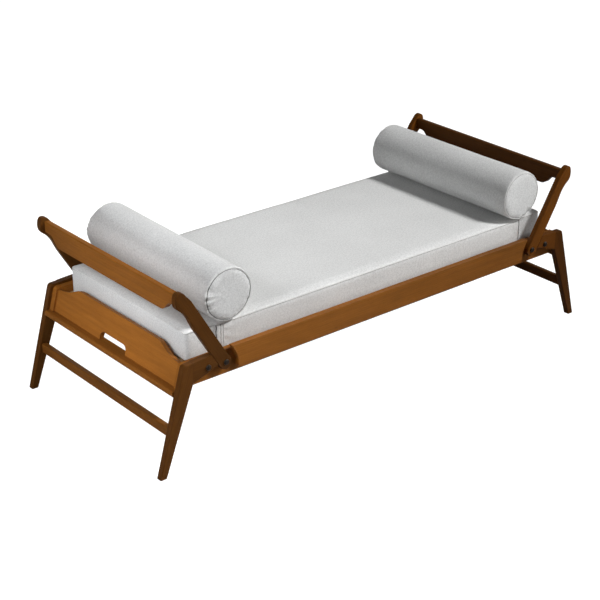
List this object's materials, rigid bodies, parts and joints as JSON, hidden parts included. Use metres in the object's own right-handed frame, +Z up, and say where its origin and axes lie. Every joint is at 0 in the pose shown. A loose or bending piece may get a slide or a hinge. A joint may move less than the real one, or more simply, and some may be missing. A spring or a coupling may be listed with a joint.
{
  "type": "daybed",
  "caption": "Low wooden daybed with splayed legs, hinged leaning armrests, a loose seat pad and a round bolster at each end.",
  "frame": {"origin": "on the floor, under the middle of the bed", "axes": "+X along the length of the bed, +Y across it toward the back, +Z up"},
  "size_m": [1.8992, 0.7994, 0.6173],
  "materials": {
    "walnut": "satin oiled walnut",
    "slat_birch": "matt sanded birch",
    "dowel_beech": "matt beech",
    "mattress_cloth": "matt pale grey melange",
    "bolster_cloth": "matt pale grey melange",
    "dark_bolt_steel": "blackened, satin",
    "zinc_steel": "zinc plated",
    "insert_brass": "plain"
  },
  "bodies": {
    "frame": {"cleat_back": "slat_birch", "cleat_front": "slat_birch", "cleat_screws": "zinc_steel", "end_board_dowels": "dowel_beech", "end_board_left": "walnut", "end_board_right": "walnut", "ledge_dowels": "dowel_beech", "ledge_left": "walnut", "ledge_right": "walnut", "leg_bolts": "dark_bolt_steel", "leg_bracket_left_back": "walnut", "leg_bracket_left_front": "walnut", "leg_bracket_right_back": "walnut", "leg_bracket_right_front": "walnut", "leg_left_back": "walnut", "leg_left_front": "walnut", "leg_right_back": "walnut", "leg_right_front": "walnut", "mattress": "mattress_cloth", "pivot_bolts": "dark_bolt_steel", "pivot_washers": "zinc_steel", "rail_inner_back": "walnut", "rail_inner_front": "walnut", "rail_outer_back": "walnut", "rail_outer_front": "walnut", "rail_screws": "zinc_steel", "slats": "slat_birch", "stretcher_dowels": "dowel_beech", "stretcher_left": "walnut", "stretcher_right": "walnut", "threaded_inserts": "insert_brass"},
    "armrest_left": {"arm_left_back": "walnut", "arm_left_front": "walnut", "crossboard_left": "walnut", "crossboard_dowels_left": "dowel_beech"},
    "armrest_right": {"arm_right_back": "walnut", "arm_right_front": "walnut", "crossboard_right": "walnut", "crossboard_dowels_right": "dowel_beech"},
    "bolster_left_body": {"bolster_left": "bolster_cloth"},
    "bolster_right_body": {"bolster_right": "bolster_cloth"}
  },
  "joints": [
    {"name": "armrest_left_hinge", "type": "hinge", "parent": "frame", "child": "armrest_left", "pos_m": [-0.691, 0, 0.33], "axis": [0, 1, 0], "range_deg": [0, 15]},
    {"name": "armrest_right_hinge", "type": "hinge", "parent": "frame", "child": "armrest_right", "pos_m": [0.691, 0, 0.33], "axis": [0, -1, 0], "range_deg": [0, 15]},
    {"name": "bolster_left_lift", "type": "slide", "parent": "frame", "child": "bolster_left_body", "axis": [0, 0, 1], "range_m": [0, 0.2]},
    {"name": "bolster_right_lift", "type": "slide", "parent": "frame", "child": "bolster_right_body", "axis": [0, 0, 1], "range_m": [0, 0.2]}
  ]
}
